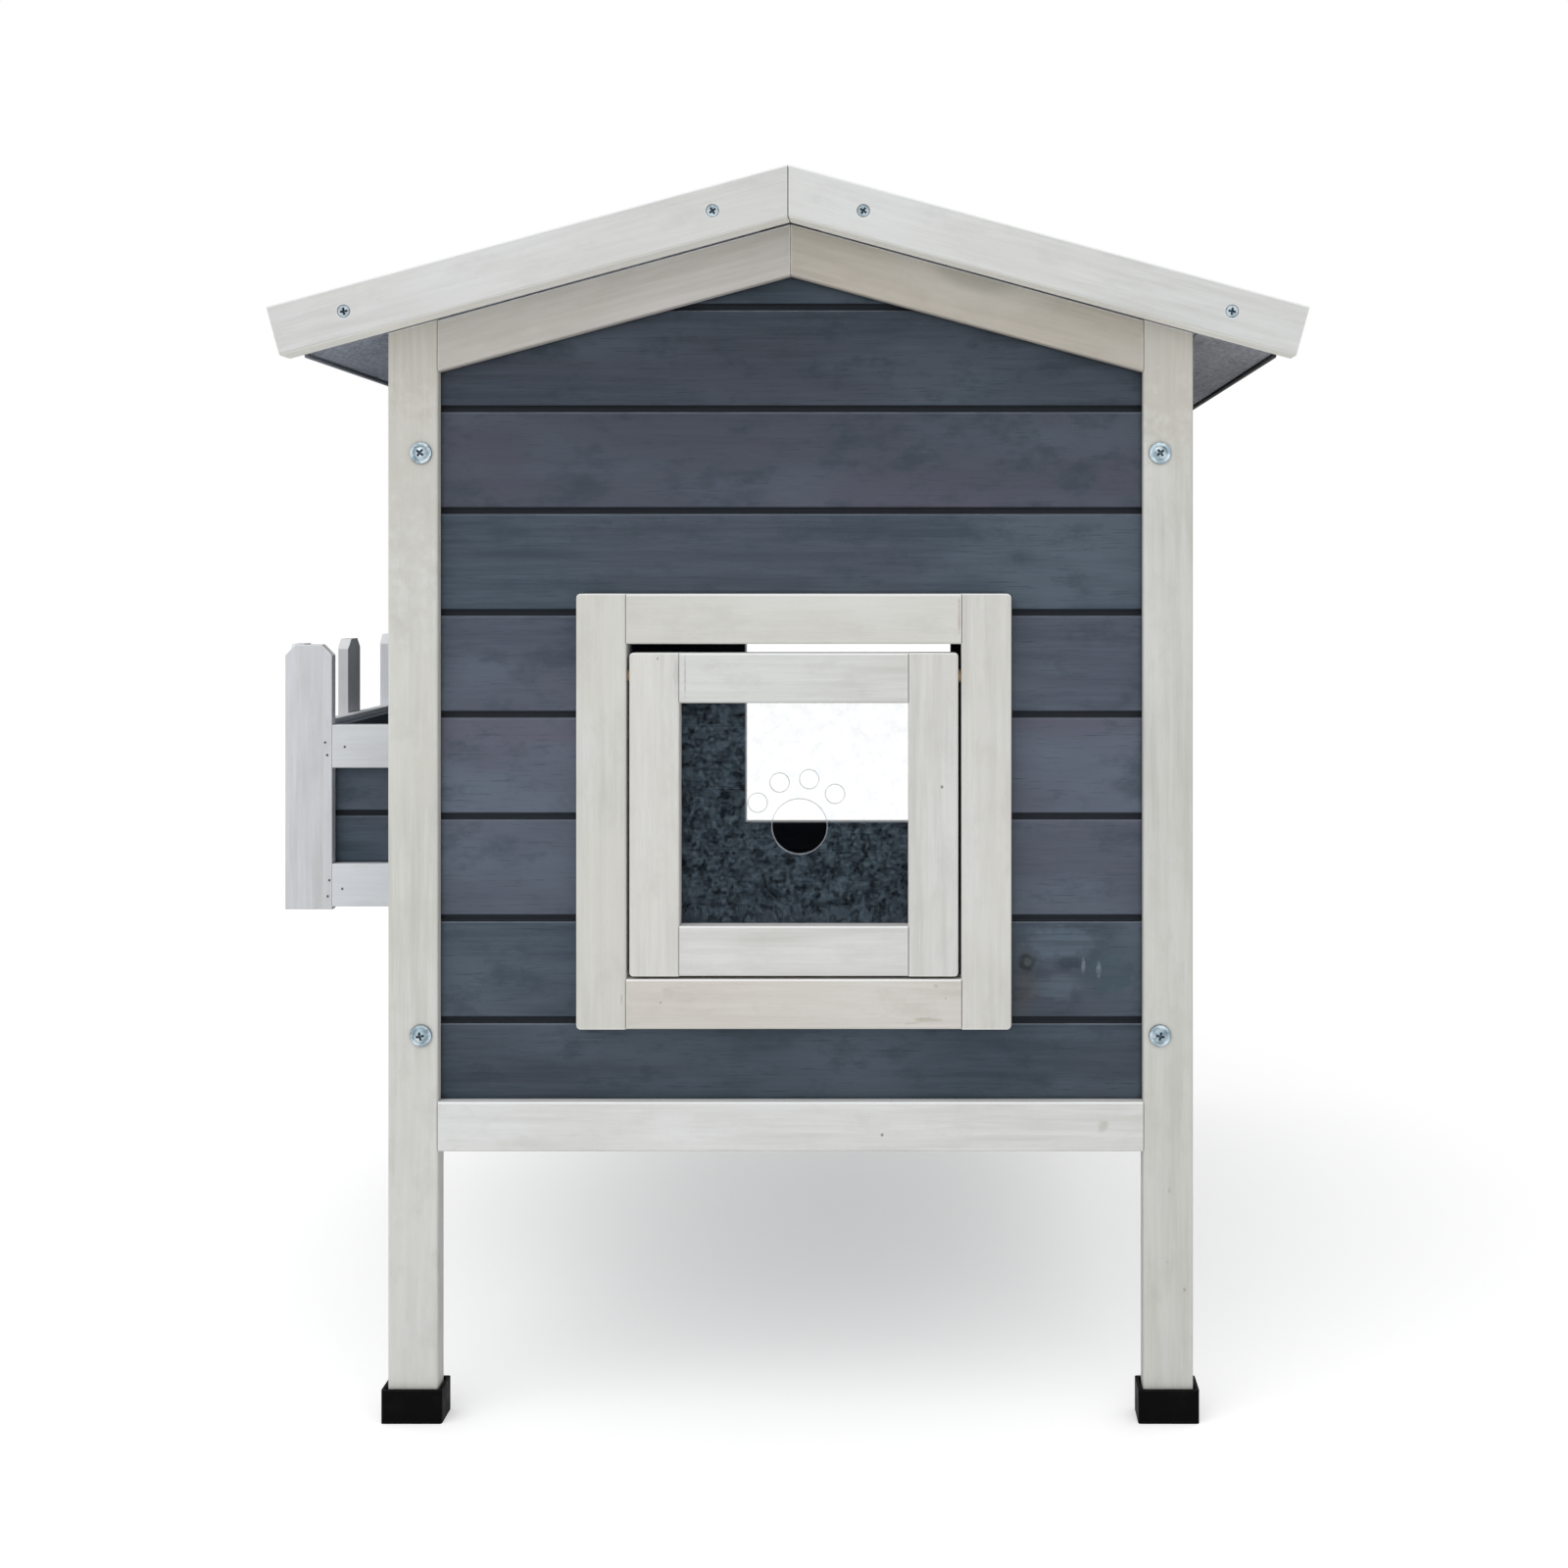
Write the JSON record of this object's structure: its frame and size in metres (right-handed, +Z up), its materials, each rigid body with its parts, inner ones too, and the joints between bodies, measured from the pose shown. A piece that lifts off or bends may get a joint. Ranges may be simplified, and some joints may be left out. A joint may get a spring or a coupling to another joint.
{
  "type": "elevated cat house",
  "caption": "Boarded cabin on four capped legs with a swinging see-through flap, a back doorway, a fenced balcony at the side and a ridge roof whose one half lifts.",
  "frame": {"origin": "on the ground, under the centre of the overall bounding box", "axes": "+Z up; the front gable with the flap faces -Y; the balcony is on the -X side; the ridge runs along Y"},
  "size_m": [0.6751, 0.7506, 0.7571],
  "materials": {
    "white_wash": "thin off-white wash over planed softwood, matt",
    "slate_stain": "slate-grey stain, matt",
    "grey_timber": "grey stain, matt",
    "felt": "mineral-faced bitumen felt",
    "zinc": "zinc plated",
    "black_plastic": "moulded, semi-matt",
    "clear_sheet": "clear acrylic sheet with a thin haze",
    "dowel": "bare beech dowel"
  },
  "bodies": {
    "house": {"front_left_post": "white_wash", "front_right_post": "white_wash", "front_left_gable_rail": "white_wash", "front_right_gable_rail": "white_wash", "front_bottom_rail": "white_wash", "front_boards": "slate_stain", "front_trim_left_stile": "white_wash", "front_trim_right_stile": "white_wash", "front_trim_top_rail": "white_wash", "front_trim_bottom_rail": "white_wash", "back_left_post": "white_wash", "back_right_post": "white_wash", "back_left_gable_rail": "white_wash", "back_right_gable_rail": "white_wash", "back_bottom_rail": "white_wash", "back_boards": "slate_stain", "back_trim_left_stile": "white_wash", "back_trim_right_stile": "white_wash", "back_trim_top_rail": "white_wash", "back_trim_bottom_rail": "white_wash", "left_wall_front_stile": "white_wash", "left_wall_back_stile": "white_wash", "left_wall_top_rail": "white_wash", "left_wall_bottom_rail": "white_wash", "left_wall_boards": "slate_stain", "balcony_doorway_trim": "white_wash", "right_wall_front_stile": "white_wash", "right_wall_back_stile": "white_wash", "right_wall_top_rail": "white_wash", "right_wall_bottom_rail": "white_wash", "right_wall_boards": "slate_stain", "floor_boards": "slate_stain", "floor_bearers": "grey_timber", "roof_battens": "grey_timber", "roof_boards": "grey_timber", "roof_felt": "felt", "roof_front_bargeboard": "white_wash", "roof_back_bargeboard": "white_wash", "roof_bargeboard_screws": "zinc", "hinge_fixed_leaves": "zinc", "balcony_pickets": "white_wash", "balcony_rails": "white_wash", "balcony_boards": "slate_stain", "balcony_floor": "slate_stain", "balcony_battens": "white_wash", "foot_caps": "black_plastic", "frame_screws": "zinc"},
    "flap": {"flap_left_stile": "white_wash", "flap_right_stile": "white_wash", "flap_top_rail": "white_wash", "flap_bottom_rail": "white_wash", "flap_pane": "clear_sheet", "flap_pivot_dowels": "dowel"},
    "lid": {"lid_battens": "grey_timber", "lid_boards": "grey_timber", "lid_felt": "felt", "lid_front_bargeboard": "white_wash", "lid_back_bargeboard": "white_wash", "lid_bargeboard_screws": "zinc", "hinge_moving_leaves": "zinc"}
  },
  "joints": [
    {"name": "flap_swing", "type": "hinge", "parent": "house", "child": "flap", "pos_m": [0.0295, -0.3555, 0.4482], "axis": [1, 0, 0], "range_deg": [-85, 85]},
    {"name": "lid_lift", "type": "hinge", "parent": "house", "child": "lid", "pos_m": [0.0295, 0, 0.75449], "axis": [0, 1, 0], "range_deg": [0, 110]}
  ]
}
